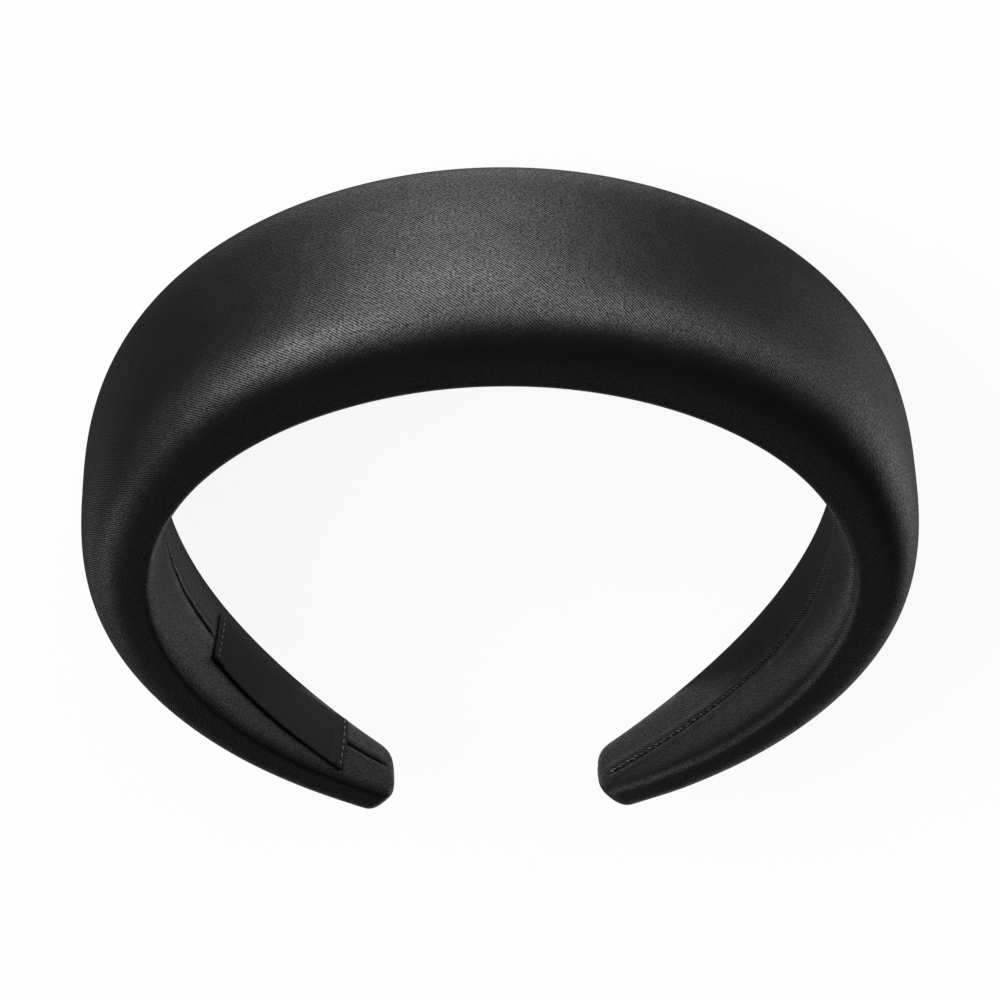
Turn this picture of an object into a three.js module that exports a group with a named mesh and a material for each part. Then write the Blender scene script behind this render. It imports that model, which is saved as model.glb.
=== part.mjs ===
// A padded hoop headband, lying on its side on a flat surface. Millimetres, +Z up.
//
// The crown of the hoop points to +Y, its two tips to -Y, and its wearer's-front edge is up. The hoop is
// a springy strip bent to a head's outline, covered with a foam pad and a satin cover: one closed cushion,
// wide and thick over the crown and narrow and thin at the two blunt tips. The cover closes in a seam along
// the middle of the inner face. A small woven label is sewn over that seam on the arm at -X.

import * as THREE from "three";
import { ParametricGeometry } from "three/addons/geometries/ParametricGeometry.js";

// ---- The hoop ----------------------------------------------------------------------------------------

// Length of one half of the hoop, from the middle of the crown to a tip, along its inner face.
const HALF_LENGTH = 181.5;

// What changes along one half, in a row for each fifth of its length, from the middle of the crown to
// the tip: the radius that the hoop is bent to, the band's width, its thickness with the padding, and
// how far the band leans in degrees. A negative lean tips its front edge inwards.
const HALF_HOOP = [
  { bendRadius: 68, width: 48.0, thickness: 21.0, lean: 0 },
  { bendRadius: 77, width: 47.0, thickness: 20.5, lean: 0 },
  { bendRadius: 45, width: 45.0, thickness: 16.5, lean: -1 },
  { bendRadius: 70, width: 38.0, thickness: 14.5, lean: -2 },
  { bendRadius: 116, width: 28.5, thickness: 11.5, lean: -4 },
  { bendRadius: 240, width: 14.7, thickness: 8.5, lean: -6 },
];

// The section is widest at these shares of its thickness above the inner face, at the crown and at the
// tip. Below that the inner face is nearly flat, and above it the pad is domed. A fullness of 2 would
// make each an ellipse, and a greater one is squarer.
const WIDEST_AT_CROWN = 0.25;
const WIDEST_AT_TIP = 0.31;
const PAD_FULLNESS = 3.2;
const INNER_FULLNESS = 2.6;

// The blunt tips: the corner radius seen from the inner face, the length over which the thickness rolls
// off, how full that roll is, and how much of it the flat end cuts away.
const TIP_CORNER_RADIUS = 3.7;
const TIP_ROLL_LENGTH = 2.6;
const TIP_ROLL_FULLNESS = 2.2;
const TIP_ROLL_CUT = 0.05;

// The closing seam, a shallow groove along the inner face: its distance from the middle towards the
// front edge, its depth, its half width where it is half as deep, and the section's points across it.
const SEAM_OFFSET = 1.0;
const SEAM_DEPTH = 0.6;
const SEAM_HALF_WIDTH = 0.6;
const SEAM_STEPS = [-1.5, -0.6, 0, 0.6, 1.5];

// ---- The label ---------------------------------------------------------------------------------------

// A tape along the inner face between two shares of the half length and two distances from the face's
// middle. It is sewn on a little askew: its rear edge lies this much nearer to the tip.
const LABEL = {
  nearCrown: 0.69,
  nearTip: 0.915,
  rearEdge: -5.4,
  frontEdge: 7.8,
  askew: 2,
  thickness: 1,
  gap: 0.3,
};

// ---- How it lies -------------------------------------------------------------------------------------

// The band narrows towards the tips, so the hoop rests on the rear edge of the crown and of both sides,
// turned by this angle in degrees, with the tips clear of the surface. The padding presses flat there.
const LYING_ANGLE = 2.8;
const PRESSED_FLAT = 0.8;

// ---- Mesh steps --------------------------------------------------------------------------------------

const STEPS_ALONG_HALF = 48;
const CROWDING_AT_TIPS = 0.85;
const STEPS_OVER_PAD = 20;
const PAD_STEP_POWER = 0.83;
const STEPS_BESIDE_SEAM = 6;
const LABEL_STEPS_ALONG = 24;
const LABEL_STEPS_ACROSS = 8;
const WALK_STEPS = 600;

const radians = THREE.MathUtils.degToRad;

/** A smooth value at a share of the half hoop, from a function of the rows of HALF_HOOP. */
function along(valueOf, share) {
  const last = HALF_HOOP.length - 1;
  const value = (row) => valueOf(HALF_HOOP[row]);
  const slope = (row) => {
    if (row === 0) return 0;
    if (row === last) return value(last) - value(last - 1);
    return (value(row + 1) - value(row - 1)) / 2;
  };
  const place = THREE.MathUtils.clamp(share, 0, 1) * last;
  const row = Math.min(Math.floor(place), last - 1);
  const t = place - row;
  const t2 = t * t;
  const t3 = t2 * t;
  return (
    (2 * t3 - 3 * t2 + 1) * value(row) +
    (t3 - 2 * t2 + t) * slope(row) +
    (3 * t2 - 2 * t3) * value(row + 1) +
    (t3 - t2) * slope(row + 1)
  );
}

const widthAt = (share) => along((row) => row.width, share);
const thicknessAt = (share) => along((row) => row.thickness, share);

/** Height of the section's widest point above the inner face. */
function pivotAt(share) {
  return THREE.MathUtils.lerp(WIDEST_AT_CROWN, WIDEST_AT_TIP, share) * thicknessAt(share);
}

/** Half the band's width, drawn in round the corners of the tip. */
function halfWidthAt(share) {
  const fromTip = Math.min(((1 - share) * HALF_LENGTH) / TIP_CORNER_RADIUS, 1);
  const corner = TIP_CORNER_RADIUS * (1 - Math.sqrt(1 - (1 - fromTip) ** 2));
  return widthAt(share) / 2 - corner;
}

/** A round-cornered dome of height 1 over a reach of -1 to 1. */
const dome = (reach, fullness) => (1 - Math.min(Math.abs(reach), 1) ** fullness) ** (1 / fullness);

/** How far the section has kept its thickness: 1 along the arm, less where the tip rolls off. */
function rollAt(share) {
  const fromTip = ((1 - share) * HALF_LENGTH) / TIP_ROLL_LENGTH + TIP_ROLL_CUT;
  return dome(Math.max(1 - fromTip, 0), TIP_ROLL_FULLNESS);
}

/** Height of the padded outer face above the inner face. */
function padHeight(share, across) {
  const pivot = pivotAt(share);
  const swell = dome(across / halfWidthAt(share), PAD_FULLNESS) * rollAt(share);
  return pivot + (thicknessAt(share) - pivot) * swell;
}

/** Height of the inner face, which is 0 along its middle and rises to the widest point at its edges. */
function innerHeight(share, across) {
  return pivotAt(share) * (1 - dome(across / halfWidthAt(share), INNER_FULLNESS) * rollAt(share));
}

/** The inner face's middle line along one half: its place and how far it has turned, at even steps. */
function walkHalfHoop() {
  const stride = HALF_LENGTH / WALK_STEPS;
  const walk = [{ x: 0, y: 0, turned: 0 }];
  for (let step = 1; step <= WALK_STEPS; step++) {
    const from = walk[step - 1];
    const bend = along((row) => 1 / row.bendRadius, (step - 0.5) / WALK_STEPS);
    const heading = from.turned + (bend * stride) / 2;
    walk.push({
      x: from.x + Math.cos(heading) * stride,
      y: from.y - Math.sin(heading) * stride,
      turned: from.turned + bend * stride,
    });
  }
  return walk;
}

const HALF_WALK = walkHalfHoop();

/** A point of the hoop. Its signed share is negative on the arm at -X, `across` runs towards the front
 *  edge, and `height` is measured outwards from the middle of the inner face. */
function hoopPoint(signedShare, across, height, target) {
  const share = Math.min(Math.abs(signedShare), 1);
  const step = Math.min(Math.floor(share * WALK_STEPS), WALK_STEPS - 1);
  const part = share * WALK_STEPS - step;
  const at = (key) => THREE.MathUtils.lerp(HALF_WALK[step][key], HALF_WALK[step + 1][key], part);
  const turned = at("turned");
  const lean = radians(along((row) => row.lean, share));
  const pivot = pivotAt(share);
  const outwards = pivot + (height - pivot) * Math.cos(lean) + across * Math.sin(lean);
  const forwards = across * Math.cos(lean) - (height - pivot) * Math.sin(lean);
  const side = signedShare < 0 ? -1 : 1;
  target.set(side * (at("x") + Math.sin(turned) * outwards), at("y") + Math.cos(turned) * outwards, forwards);
}

/** A closed body swept along the hoop: `ringPoint(step, share)` gives the section's points in turn as
 *  { across, height, shift }, and each end is closed on the point that `endPoint(share)` gives. */
function sweptBody(shares, ringSteps, ringPoint, endPoint) {
  const last = shares.length + 1;
  const surface = (u, v, target) => {
    const row = Math.round(v * last);
    const atEnd = row === 0 || row === last;
    const share = shares[THREE.MathUtils.clamp(row - 1, 0, shares.length - 1)];
    const step = Math.round(u * ringSteps) % ringSteps;
    const point = atEnd ? endPoint(share) : ringPoint(step, share);
    hoopPoint(share + (point.shift || 0), point.across, point.height, target);
  };
  return new ParametricGeometry(surface, ringSteps, last);
}

// ---- The padded band ---------------------------------------------------------------------------------

/** Signed shares along the whole hoop from its tip at +X, closer together towards both tips. */
function bandShares() {
  const shares = [];
  for (let step = STEPS_ALONG_HALF; step >= -STEPS_ALONG_HALF; step--) {
    const even = step / STEPS_ALONG_HALF;
    shares.push(even + (CROWDING_AT_TIPS * Math.sin(Math.PI * even)) / Math.PI);
  }
  return shares;
}

const RING_STEPS = STEPS_OVER_PAD + 1 + 2 * STEPS_BESIDE_SEAM + SEAM_STEPS.length;

/** The band's section, from the front edge over the pad to the rear edge and back along the inner face. */
function bandRingPoint(step, signedShare) {
  const share = Math.abs(signedShare);
  const half = halfWidthAt(share);
  if (step <= STEPS_OVER_PAD) {
    const turn = Math.cos((Math.PI * step) / STEPS_OVER_PAD);
    const across = half * Math.sign(turn) * Math.abs(turn) ** PAD_STEP_POWER;
    return { across, height: padHeight(share, across) };
  }
  const seamStart = SEAM_OFFSET + SEAM_STEPS[0];
  const seamEnd = SEAM_OFFSET + SEAM_STEPS.at(-1);
  const easeFromEdge = (part) => 1 - Math.cos((Math.PI / 2) * (part / (STEPS_BESIDE_SEAM + 1)));
  const innerStep = step - STEPS_OVER_PAD;
  const seamStep = innerStep - STEPS_BESIDE_SEAM - 1;
  let across;
  let groove = 0;
  if (seamStep < 0) {
    across = THREE.MathUtils.lerp(-half, seamStart, easeFromEdge(innerStep));
  } else if (seamStep < SEAM_STEPS.length) {
    across = SEAM_OFFSET + SEAM_STEPS[seamStep];
    groove = SEAM_DEPTH * 0.5 ** ((SEAM_STEPS[seamStep] / SEAM_HALF_WIDTH) ** 2) * rollAt(share);
  } else {
    across = THREE.MathUtils.lerp(half, seamEnd, easeFromEdge(RING_STEPS - step));
  }
  return { across, height: innerHeight(share, across) + groove };
}

const bandGeometry = sweptBody(
  bandShares(),
  RING_STEPS,
  bandRingPoint,
  (signedShare) => ({ across: 0, height: pivotAt(Math.abs(signedShare)) }),
);

// ---- The label ---------------------------------------------------------------------------------------

/** Signed shares from the label's end near the tip to its end near the crown. */
function labelShares() {
  const shares = [];
  for (let step = 0; step <= LABEL_STEPS_ALONG; step++) {
    shares.push(-THREE.MathUtils.lerp(LABEL.nearTip, LABEL.nearCrown, step / LABEL_STEPS_ALONG));
  }
  return shares;
}

/** A point of the label's section at a depth into the hoop's open middle from the inner face. */
function labelPoint(signedShare, across, depth) {
  const share = Math.abs(signedShare);
  const fromFront = (LABEL.frontEdge - across) / (LABEL.frontEdge - LABEL.rearEdge);
  const shift = (-LABEL.askew * fromFront) / HALF_LENGTH;
  return { across, height: innerHeight(share, across) - depth, shift };
}

/** The label's section: along the side that faces the band, then back along the side that shows. */
function labelRingPoint(step, signedShare) {
  const steps = LABEL_STEPS_ACROSS + 1;
  const showing = step >= steps;
  const part = (showing ? 2 * steps - 1 - step : step) / LABEL_STEPS_ACROSS;
  const across = THREE.MathUtils.lerp(LABEL.rearEdge, LABEL.frontEdge, part);
  return labelPoint(signedShare, across, LABEL.gap + (showing ? LABEL.thickness : 0));
}

const labelGeometry = sweptBody(
  labelShares(),
  2 * (LABEL_STEPS_ACROSS + 1),
  labelRingPoint,
  (signedShare) => {
    const middle = (LABEL.rearEdge + LABEL.frontEdge) / 2;
    return labelPoint(signedShare, middle, LABEL.gap + LABEL.thickness / 2);
  },
);

// ---- Laying it on its side ---------------------------------------------------------------------------

/** Turns both pieces the way the headband lies, and stands the origin under the middle of the hoop. */
function layDown(band, others) {
  band.rotateX(radians(LYING_ANGLE));
  band.computeBoundingBox();
  const middle = band.boundingBox.getCenter(new THREE.Vector3());
  const drop = -band.boundingBox.min.z - PRESSED_FLAT;
  band.translate(0, -middle.y, drop);
  for (const other of others) {
    other.rotateX(radians(LYING_ANGLE));
    other.translate(0, -middle.y, drop);
  }
  const points = band.getAttribute("position");
  for (let point = 0; point < points.count; point++) {
    points.setZ(point, Math.max(points.getZ(point), 0));
  }
  band.computeVertexNormals();
}

layDown(bandGeometry, [labelGeometry]);

const satin = new THREE.MeshStandardMaterial({ color: 0x141414, roughness: 0.42, metalness: 0 });
const wovenTape = new THREE.MeshStandardMaterial({ color: 0x0d0d0d, roughness: 0.85, metalness: 0 });

const paddedBand = new THREE.Mesh(bandGeometry, satin);
paddedBand.name = "padded_band";
const label = new THREE.Mesh(labelGeometry, wovenTape);
label.name = "label";

const headband = new THREE.Group();
headband.add(paddedBand, label);

export default headband;
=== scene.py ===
"""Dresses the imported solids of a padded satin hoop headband, which lies on its side. Metres, +Z up.

The crown of the hoop points to +Y, its two tips to -Y, and its wearer's-front edge is up. The padded band
and the woven label are each stood for by a finely made piece of the same form: a satin cover with its closing
seam, and a tape with folded ends. Both pieces get their sewing thread, stitch by stitch.
"""

import math

import bpy
import numpy as np
from mathutils import Matrix, Vector


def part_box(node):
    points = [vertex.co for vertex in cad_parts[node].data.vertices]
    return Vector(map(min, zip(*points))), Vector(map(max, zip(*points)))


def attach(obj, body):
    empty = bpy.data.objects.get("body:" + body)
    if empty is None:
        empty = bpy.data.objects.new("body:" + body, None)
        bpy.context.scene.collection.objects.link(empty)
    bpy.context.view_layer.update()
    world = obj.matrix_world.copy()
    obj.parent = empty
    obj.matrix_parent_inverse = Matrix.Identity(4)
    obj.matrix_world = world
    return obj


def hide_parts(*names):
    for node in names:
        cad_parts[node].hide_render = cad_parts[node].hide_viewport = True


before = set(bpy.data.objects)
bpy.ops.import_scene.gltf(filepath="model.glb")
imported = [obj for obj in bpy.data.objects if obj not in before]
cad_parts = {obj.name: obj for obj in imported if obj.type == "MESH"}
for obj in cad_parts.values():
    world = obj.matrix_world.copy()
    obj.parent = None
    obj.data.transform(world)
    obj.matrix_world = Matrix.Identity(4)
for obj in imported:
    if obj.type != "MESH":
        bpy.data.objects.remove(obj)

bl_info = {
    "name": "Padded Hoop Headband",
    "version": (1, 0, 0),
    "blender": (4, 5, 0),
    "location": "3D View > Sidebar > Headband",
    "description": "Builds a padded satin hoop headband around its packed solids",
    "category": "Add Mesh",
}

BODY = "root"
BAND_NODE = "padded_band"
LABEL_NODE = "label"

# ---- The hoop ------------------------------------------------------------------------------------------

# Length of one half of the hoop, from the middle of the crown to a tip, along its inner face.
HALF_LENGTH = 0.1815

# What changes along one half, in a row for each fifth of its length, from the middle of the crown to the
# tip: the radius that the hoop is bent to, the band's width, its thickness with the padding, and how far
# the band leans in degrees. A negative lean tips its front edge inwards.
HALF_HOOP = np.array(
    [
        (0.068, 0.0480, 0.0210, 0),
        (0.077, 0.0470, 0.0205, 0),
        (0.045, 0.0450, 0.0165, -1),
        (0.070, 0.0380, 0.0145, -2),
        (0.116, 0.0285, 0.0115, -4),
        (0.240, 0.0147, 0.0085, -6),
    ],
    dtype=[("bend_radius", float), ("width", float), ("thickness", float), ("lean", float)],
)

# The section is widest at these shares of its thickness above the inner face, at the crown and at the tip.
# Below that the inner face is nearly flat, and above it the pad is domed. A fullness of 2 would make each an
# ellipse, and a greater one is squarer.
WIDEST_AT_CROWN = 0.25
WIDEST_AT_TIP = 0.31
PAD_FULLNESS = 3.2
INNER_FULLNESS = 2.6

# The blunt tips: the corner radius seen from the inner face, the length over which the thickness rolls off,
# how full that roll is, how much of it the blunt end cuts away, and how far the end bulges.
TIP_CORNER_RADIUS = 0.0037
TIP_ROLL_LENGTH = 0.0026
TIP_ROLL_FULLNESS = 2.2
TIP_ROLL_CUT = 0.05
TIP_END_BULGE = 0.0005

# The tips are cut askew: from this share of the half hoop on, the front edge is drawn back from the tip by
# this much for each metre across the band.
LEFT_TIP_SLANT = 0.03
RIGHT_TIP_SLANT = 0.125
TIP_SLANT_START = 0.9

# The hoop lies turned by this angle, in degrees, and its padding presses flat over this rounding height.
LYING_ANGLE = 2.8
PRESS_ROUNDING = 0.0004

# How many steps one half is walked in, and how finely the whole hoop is sampled to find its top and its ends.
WALK_STEPS = 600
SAMPLES_ALONG = 401
SAMPLES_ACROSS = 201


def along(column, share):
    """Values of a column of HALF_HOOP, or of what is worked out from one, at shares of the half hoop.

    A Catmull-Rom curve runs through the rows, level at the middle of the crown."""
    slopes = np.gradient(column)
    slopes[0] = 0
    place = np.clip(share, 0, 1) * (len(column) - 1)
    row = np.minimum(place.astype(int), len(column) - 2)
    t = place - row
    return (
        (2 * t**3 - 3 * t**2 + 1) * column[row]
        + (t**3 - 2 * t**2 + t) * slopes[row]
        + (3 * t**2 - 2 * t**3) * column[row + 1]
        + (t**3 - t**2) * slopes[row + 1]
    )


def smooth_step(value, start, end):
    """0 before start, 1 after end, and a smooth S between them."""
    t = np.clip((value - start) / (end - start), 0, 1)
    return t * t * (3 - 2 * t)


def dome(reach, fullness):
    """A round-cornered dome of height 1 over a reach of -1 to 1: a superellipse."""
    return (1 - np.minimum(np.abs(reach), 1) ** fullness) ** (1 / fullness)


def thickness_at(share):
    """The band's thickness with its padding."""
    return along(HALF_HOOP["thickness"], share)


def pivot_at(share):
    """Height of the section's widest point above the inner face."""
    return (WIDEST_AT_CROWN + (WIDEST_AT_TIP - WIDEST_AT_CROWN) * share) * thickness_at(share)


def half_width_at(share):
    """Half the band's width, drawn in by a quarter circle round the corners of the tip."""
    from_tip = np.minimum((1 - share) * HALF_LENGTH / TIP_CORNER_RADIUS, 1)
    corner = TIP_CORNER_RADIUS * (1 - dome(1 - from_tip, 2))
    return along(HALF_HOOP["width"], share) / 2 - corner


def roll_at(share):
    """How far the section has kept its thickness: 1 along the arm, less where the tip rolls off."""
    from_tip = (1 - share) * HALF_LENGTH / TIP_ROLL_LENGTH + TIP_ROLL_CUT
    return dome(np.maximum(1 - from_tip, 0), TIP_ROLL_FULLNESS)


def pad_height(share, across):
    """Height of the padded outer face above the inner face: a dome on the widest point."""
    pivot = pivot_at(share)
    swell = dome(across / half_width_at(share), PAD_FULLNESS) * roll_at(share)
    return pivot + (thickness_at(share) - pivot) * swell


def inner_height(share, across):
    """Height of the inner face, which is 0 along its middle and rises to the widest point at its edges."""
    return pivot_at(share) * (1 - dome(across / half_width_at(share), INNER_FULLNESS) * roll_at(share))


def walk_half_hoop():
    """The inner face's middle line along one half, at even steps: x, y and the angle it has turned.

    Each step turns by its length times the bend there, and goes the way of its own middle."""
    stride = HALF_LENGTH / WALK_STEPS
    middles = (np.arange(WALK_STEPS) + 0.5) / WALK_STEPS
    turned = np.concatenate([[0], np.cumsum(stride * along(1 / HALF_HOOP["bend_radius"], middles))])
    heading = (turned[:-1] + turned[1:]) / 2
    x = np.concatenate([[0], np.cumsum(stride * np.cos(heading))])
    y = np.concatenate([[0], -np.cumsum(stride * np.sin(heading))])
    return x, y, turned


HALF_WALK = walk_half_hoop()


def standing_points(signed_share, across, height):
    """Points of the hoop before it is laid down. The signed share is negative on the arm at -X, `across`
    runs towards the front edge, and `height` is measured outwards from the middle of the inner face."""
    share = np.minimum(np.abs(signed_share), 1)
    steps = np.linspace(0, 1, WALK_STEPS + 1)
    slant = np.where(signed_share < 0, LEFT_TIP_SLANT, RIGHT_TIP_SLANT)
    drawn_back = slant * (across + half_width_at(share)) * smooth_step(share, TIP_SLANT_START, 1)
    x, y, turned = (np.interp(share - drawn_back / HALF_LENGTH, steps, values) for values in HALF_WALK)
    lean = np.radians(along(HALF_HOOP["lean"], share))
    pivot = pivot_at(share)
    outwards = pivot + (height - pivot) * np.cos(lean) + across * np.sin(lean)
    forwards = across * np.cos(lean) - (height - pivot) * np.sin(lean)
    side = np.where(signed_share < 0, -1, 1)
    sideways = side * (x + np.sin(turned) * outwards)
    return np.stack(np.broadcast_arrays(sideways, y + np.cos(turned) * outwards, forwards), -1)


def turned_down(points):
    """Points turned about X by the angle that the hoop lies at."""
    angle = math.radians(LYING_ANGLE)
    x, y, z = np.moveaxis(points, -1, 0)
    upright = y * math.sin(angle) + z * math.cos(angle)
    return np.stack([x, y * math.cos(angle) - z * math.sin(angle), upright], -1)


def lying_shift():
    """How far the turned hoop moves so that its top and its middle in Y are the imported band's."""
    share = np.linspace(-1, 1, SAMPLES_ALONG)[:, None]
    across = np.linspace(-1, 1, SAMPLES_ACROSS) * half_width_at(np.abs(share))
    points = turned_down(standing_points(share, across, pad_height(np.abs(share), across)))
    low, high = (np.array(corner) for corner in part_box(BAND_NODE))
    y, z = points[..., 1], points[..., 2]
    return np.array([0, (low[1] + high[1] - y.min() - y.max()) / 2, high[2] - z.max()])


LYING_SHIFT = lying_shift()


def hoop_points(signed_share, across, height):
    """Points of the hoop as it lies, given as for standing_points."""
    return turned_down(standing_points(signed_share, across, height)) + LYING_SHIFT


def pressed_flat(points):
    """Points that would be under the floor come up to it, with a small rounding, as padding does."""
    pressed = points.copy()
    z = points[..., 2]
    lifted = (z + np.sqrt(z * z + PRESS_ROUNDING**2)) / 2
    pressed[..., 2] = lifted - lifted.min()
    return pressed


# ---- Meshes --------------------------------------------------------------------------------------------


def unit(vectors):
    """Vectors scaled to length 1."""
    return vectors / np.linalg.norm(vectors, axis=-1, keepdims=True)


def fade(distance, reach, power=2):
    """1 at no distance, fading away over a reach: e to the minus this power of their ratio. A power of 2
    gives a bell, 4 one with a flatter top, and 1 a pointed one."""
    return np.exp(-(np.abs(distance / reach) ** power))


def ring_normals(points):
    """Outward normals of a surface of rings, (rows, ring steps, 3), whose rings close on themselves."""
    down = np.gradient(points, axis=0)
    around = np.roll(points, -1, axis=1) - np.roll(points, 1, axis=1)
    return unit(np.cross(down, around))


def ring_faces(rows, steps):
    """Faces of a surface of rings that closes on two poles, whose points follow the rings': its quads and its
    triangles as point numbers. Their places in a table of rows and steps + 1 columns, whose last column
    repeats the first, come last: each quad's corners, and each triangle's two that aren't a pole."""
    row, step = np.divmod(np.arange((rows - 1) * steps), steps)
    corners = [(row, step), (row + 1, step), (row + 1, step + 1), (row, step + 1)]
    quads = np.stack([r * steps + s % steps for r, s in corners], -1)
    quad_places = np.stack([r * (steps + 1) + s for r, s in corners], -1)
    step = np.arange(steps)
    after = (step + 1) % steps
    last_ring = (rows - 1) * steps
    start_fan = np.stack([np.full(steps, rows * steps), step, after], -1)
    end_fan = np.stack([np.full(steps, rows * steps + 1), last_ring + after, last_ring + step], -1)
    last_row = (rows - 1) * (steps + 1)
    fan_places = [np.stack([step, step + 1], -1), np.stack([last_row + step + 1, last_row + step], -1)]
    return quads, np.concatenate([start_fan, end_fan]), quad_places, np.concatenate(fan_places)


def smooth_mesh(name, points, quads, triangles):
    """A smoothly shaded mesh of these points and faces."""
    mesh = bpy.data.meshes.new(name)
    mesh.from_pydata(points.tolist(), [], quads.tolist() + triangles.tolist())
    mesh.polygons.foreach_set("use_smooth", np.ones(len(mesh.polygons), bool))
    return mesh


def ring_mesh(name, points, poles, cloth=None, groove_shade=None):
    """A closed mesh of rings, (rows, ring steps, 3), whose ends close on two poles. `cloth` gives a UV map in
    metres of cloth, as a table of rows and one more column than ring steps. The last argument gives each ring
    point's share of the painted shade in the seam's groove, as an attribute."""
    quads, triangles, quad_places, fan_places = ring_faces(*points.shape[:2])
    mesh = smooth_mesh(name, np.concatenate([points.reshape(-1, 3), poles]), quads, triangles)
    if cloth is not None:
        table = cloth.reshape(-1, 2)
        beside_pole = table[fan_places]
        at_pole = beside_pole.mean(1, keepdims=True)
        fans = np.concatenate([at_pole, beside_pole], 1)
        layer = mesh.uv_layers.new(name="cloth")
        layer.uv.foreach_set("vector", np.concatenate([table[quad_places].ravel(), fans.ravel()]))
    if groove_shade is not None:
        attribute = mesh.attributes.new("groove_shade", "FLOAT", "POINT")
        attribute.data.foreach_set("value", np.concatenate([groove_shade.ravel(), [0, 0]]))
    return mesh


def add_piece(context, mesh, material):
    """Links a piece at the origin, gives it its material, and lets it ride on the headband's body."""
    mesh.materials.append(material)
    piece = bpy.data.objects.new(mesh.name, mesh)
    context.scene.collection.objects.link(piece)
    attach(piece, BODY)
    return piece


# ---- Places on the inner face --------------------------------------------------------------------------

# The label lies on the arm at -X, between two shares of the half length and two distances from the face's
# middle. It is sewn on a little askew: its rear edge lies nearer to the tip by LABEL_ASKEW, and by LABEL_TURN
# more at its crown end. It drifts by LABEL_TILT towards the front edge on its way to the tip.
LABEL_NEAR_CROWN = 0.69
LABEL_NEAR_TIP = 0.915
LABEL_REAR_EDGE = -0.0075
LABEL_FRONT_EDGE = 0.0075
LABEL_ASKEW = 0.002
LABEL_TURN = 0.0012
LABEL_TILT = 0.0018
LABEL_LENGTH = (LABEL_NEAR_TIP - LABEL_NEAR_CROWN) * HALF_LENGTH
LABEL_WIDTH = LABEL_FRONT_EDGE - LABEL_REAR_EDGE

# The closing seam runs near the inner face's middle, through these places towards the front edge, but no
# further out than a share of the half width. It ends near each tip and under the label, over short slopes.
SEAM_AT_LEFT_TIP = -0.0001
SEAM_AT_CROWN = 0.0012
SEAM_AT_RIGHT_TIP = 0.0033
SEAM_REACH = 0.45
SEAM_END = 0.0035
SEAM_END_SLOPE = 0.0015
SEAM_LABEL_SLOPE = 0.0012


def label_place(from_crown_end, from_front):
    """The signed share and place across of points given as shares of the label's length and width."""
    share = LABEL_NEAR_CROWN + (LABEL_NEAR_TIP - LABEL_NEAR_CROWN) * from_crown_end
    across = LABEL_FRONT_EDGE - LABEL_WIDTH * from_front + LABEL_TILT * (from_crown_end - 0.5)
    askew = LABEL_ASKEW + LABEL_TURN * (1 - from_crown_end)
    return -share - askew * from_front / HALF_LENGTH, across


def seam_place(signed_share):
    """How far from the inner face's middle the seam runs, towards the front edge: a parabola through its
    places at both tips and at the crown."""
    slope = (SEAM_AT_RIGHT_TIP - SEAM_AT_LEFT_TIP) / 2
    bow = (SEAM_AT_RIGHT_TIP + SEAM_AT_LEFT_TIP) / 2 - SEAM_AT_CROWN
    return SEAM_AT_CROWN + slope * signed_share + bow * signed_share**2


def under_label(signed_share):
    """1 where the label covers the seam, 0 elsewhere, with short slopes."""
    slope = SEAM_LABEL_SLOPE / HALF_LENGTH
    start = smooth_step(-signed_share, LABEL_NEAR_CROWN - slope, LABEL_NEAR_CROWN + slope)
    return start * (1 - smooth_step(-signed_share, LABEL_NEAR_TIP - slope, LABEL_NEAR_TIP + slope))


def sewn_at(signed_share):
    """1 where the closing seam shows, 0 at the tips and under the label, with short slopes."""
    from_tip = (1 - np.abs(signed_share)) * HALF_LENGTH
    off_tip = smooth_step(from_tip, SEAM_END - SEAM_END_SLOPE, SEAM_END + SEAM_END_SLOPE)
    return off_tip * (1 - under_label(signed_share))


# ---- The satin cover -----------------------------------------------------------------------------------

# The closing seam's section: a groove, with a lip at some distance on each side where the cloth rolls over
# into it. Each stitch presses a dimple, given as a share of the groove's depth.
GROOVE_REACH = 0.00034
LIP_DISTANCE = 0.0015
LIP_REACH = 0.0009
DIMPLE_REACH = 0.0005
DIMPLE_SHARE = 0.08

# The gathers beside the seam start and fade away at these distances. They are waves, each given by its pitch,
# its shift in radians and its share of the gathers' height.
GATHER_START = 0.0009
GATHER_REACH = 0.0028
GATHERS = ((0.0061, 0.3, 0.5), (0.0043, 1.9, 0.3), (0.0087, 4.1, 0.4))

# Shade is painted in the seam's groove, fully at a stitch and by this share halfway between two.
GROOVE_SHADE_REACH = 0.00036
GROOVE_SHADE_BETWEEN = 0.36

# The cover's rows along the hoop, how much they crowd at the tips, and the rows of each tip's cap.
COVER_ROWS = 801
COVER_CROWDING = 0.35
CAP_ROWS = 5

# The steps round a ring, on each side of the seam, over the rest of the inner face and over the pad. Beside
# the seam they crowd towards it, in a zone of this width that takes at most a share of the half width.
SEAM_ZONE = 0.0042
SEAM_ZONE_SHARE = 0.3
ZONE_STEPS = 9
ZONE_STEP_POWER = 1.5
INNER_STEPS = 13
PAD_STEPS = 76
PAD_STEP_POWER = 0.83

# The distance from the seam that stands for all points off the inner face.
FAR = 1.0


def cover_shares():
    """Signed shares of the cover's rows from the tip at -X to the one at +X, closer together at both tips."""
    even = np.linspace(-1, 1, COVER_ROWS)
    return even + COVER_CROWDING * np.sin(np.pi * even) / np.pi


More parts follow.
